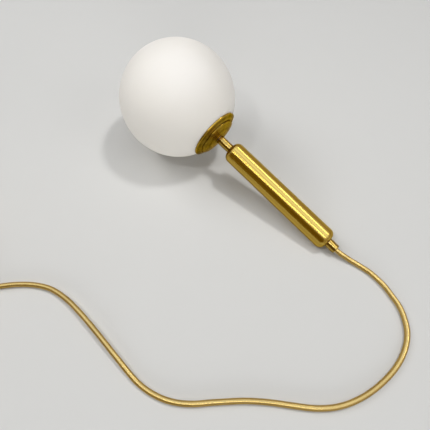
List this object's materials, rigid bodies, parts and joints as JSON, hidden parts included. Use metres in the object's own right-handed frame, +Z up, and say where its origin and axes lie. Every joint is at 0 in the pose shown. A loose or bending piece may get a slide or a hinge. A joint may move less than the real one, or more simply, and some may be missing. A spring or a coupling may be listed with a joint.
{
  "type": "globe pendant light",
  "caption": "Pendant light with an opal glass globe, a dished brass gallery, a slim stem and tube, a cord grip, a woven cord in a coil and a ceiling rose.",
  "frame": {"origin": "centre of the lamp's footprint on the surface it lies on, without its cord, coil and rose", "axes": "+X along the lamp from its globe to its cord grip, seen from above; +Z up"},
  "size_m": [0.5332, 0.495, 0.15],
  "materials": {
    "opal_glass": "satin opal",
    "satin_brass": "brushed satin",
    "polished_brass": "polished",
    "plain_brass": "turned",
    "zinc_steel": "zinc plated",
    "gold_textile": "woven satin",
    "silicone": "matt",
    "white_nylon": "moulded",
    "ceramic": "unglazed ceramic",
    "spring_bronze": "stamped",
    "frosted_cover": "frosted",
    "board_white": "solder mask",
    "brown_core": "extruded",
    "blue_core": "extruded",
    "green_yellow_core": "extruded"
  },
  "bodies": {
    "pendant": {"gallery_plate": "satin_brass", "cap_dome": "satin_brass", "thread_collar": "plain_brass", "lock_washer": "zinc_steel", "collar_nut": "zinc_steel", "threaded_rod": "zinc_steel", "stem_tube": "polished_brass", "body_tube": "satin_brass", "cord_gland": "polished_brass", "gland_sleeve": "white_nylon", "gland_set_screw": "zinc_steel", "holder_bracket": "zinc_steel", "earth_tag": "plain_brass", "bracket_nut": "zinc_steel", "lampholder": "ceramic", "contact_clip_left": "spring_bronze", "contact_clip_right": "spring_bronze", "bracket_screw_left": "zinc_steel", "bracket_screw_right": "zinc_steel", "inner_cable": "gold_textile", "core_live": "brown_core", "core_neutral": "blue_core", "core_earth": "green_yellow_core", "cord_run": "gold_textile", "cord_coil": "gold_textile", "cord_tail": "gold_textile", "coil_tie": "white_nylon", "rose_bracket": "zinc_steel", "rose_stud_left": "zinc_steel", "rose_stud_right": "zinc_steel", "terminal_block": "white_nylon", "terminal_block_screw": "zinc_steel", "rose_earth_screw": "zinc_steel", "tail_core_live": "brown_core", "tail_core_neutral": "blue_core", "tail_core_earth": "green_yellow_core"},
    "seal": {"globe_gasket": "silicone"},
    "globe": {"glass_globe": "opal_glass"},
    "bulb": {"bulb_base": "ceramic", "bulb_pin_left": "zinc_steel", "bulb_pin_right": "zinc_steel", "bulb_cover": "frosted_cover", "led_board": "board_white"},
    "rose_cover": {"rose_cup": "satin_brass", "rose_cap_nut_left": "polished_brass", "rose_cap_nut_right": "polished_brass", "rose_grip": "polished_brass", "rose_grip_screw": "zinc_steel", "rose_nipple": "zinc_steel", "rose_nipple_nut": "zinc_steel"}
  },
  "joints": [
    {"name": "globe_travel", "type": "slide", "parent": "pendant", "child": "seal", "axis": [-0.9714, 0, 0.2375], "range_m": [0, 0.0046]},
    {"name": "globe_turn", "type": "hinge", "parent": "seal", "child": "globe", "pos_m": [-0.09862, 0, 0.075], "axis": [-0.9714, 0, 0.2375], "range_deg": [0, 540]},
    {"name": "bulb_pull", "type": "slide", "parent": "pendant", "child": "bulb", "axis": [-0.9714, 0, 0.2375], "range_m": [0, 0.02]},
    {"name": "rose_cover_slide", "type": "slide", "parent": "pendant", "child": "rose_cover", "axis": [1, 0, 0], "range_m": [0, 0.025]}
  ],
  "couplings": [
    {"joint": "globe_travel", "follows": "globe_turn", "m_per_rad": 0.00047746}
  ]
}
